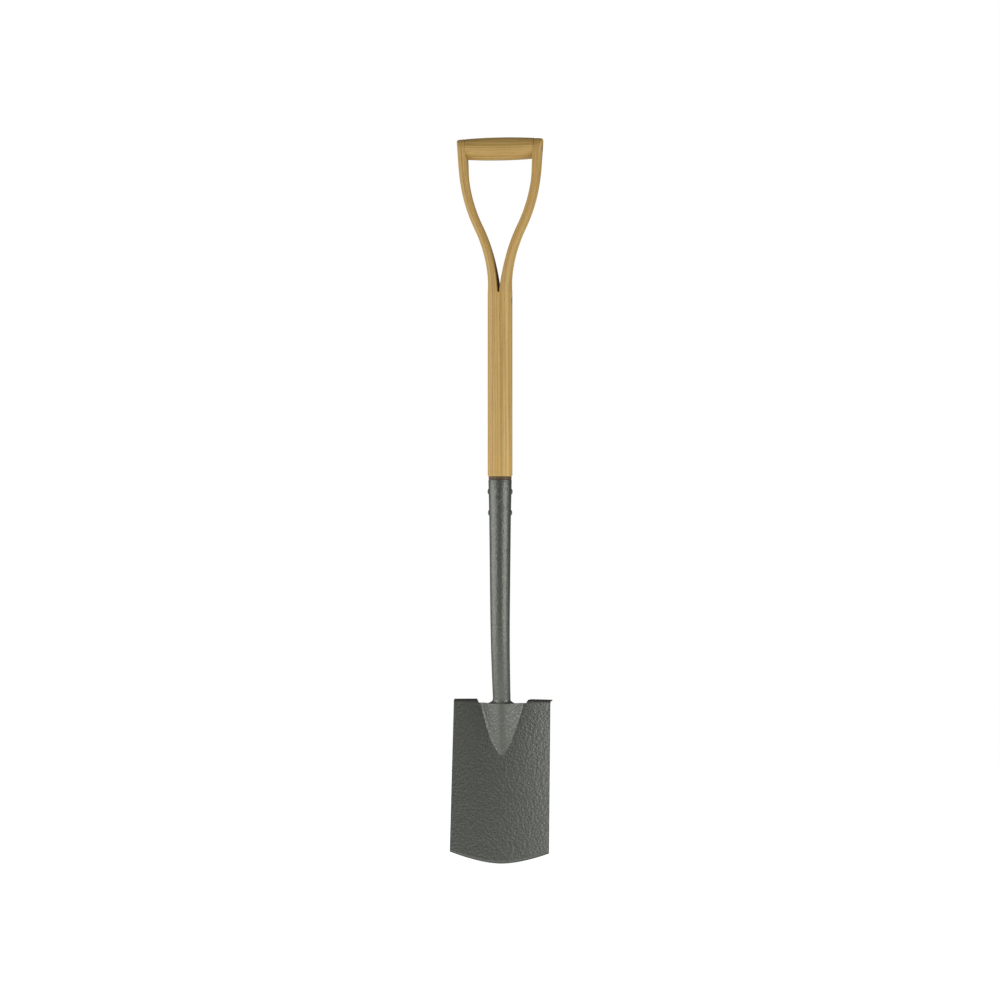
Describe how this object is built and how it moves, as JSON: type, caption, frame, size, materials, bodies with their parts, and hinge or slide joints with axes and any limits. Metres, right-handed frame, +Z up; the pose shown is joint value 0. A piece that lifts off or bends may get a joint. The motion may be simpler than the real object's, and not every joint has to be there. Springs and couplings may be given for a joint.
{
  "type": "border spade",
  "caption": "Border spade with a small dished steel blade, turned-back treads, a cranked tube socket and a split wooden Y handle with a turned cross grip.",
  "frame": {"origin": "on the handle's axis, at the underside of the grip's middle, where a peg in the hand opening holds the spade up", "axes": "+Z up the handle, +X across the blade, -Y the way that the hollow digging face looks"},
  "size_m": [0.141, 0.0555, 1.0197],
  "materials": {
    "hammered_paint": "hammered grey-green paint, semi-gloss",
    "ash_wood": "sanded and oiled ash",
    "zinc_steel": "dull zinc plate"
  },
  "bodies": {
    "root": {"blade": "hammered_paint", "socket": "hammered_paint", "weld_bead": "hammered_paint", "handle_shaft": "ash_wood", "hand_grip": "ash_wood", "grip_rivet": "zinc_steel", "grip_burr_right": "zinc_steel", "grip_burr_left": "zinc_steel", "crotch_rivet": "zinc_steel", "crotch_burr_right": "zinc_steel", "crotch_burr_left": "zinc_steel", "socket_rivet_upper": "hammered_paint", "socket_rivet_lower": "hammered_paint", "socket_rivet_front": "hammered_paint"}
  },
  "joints": []
}
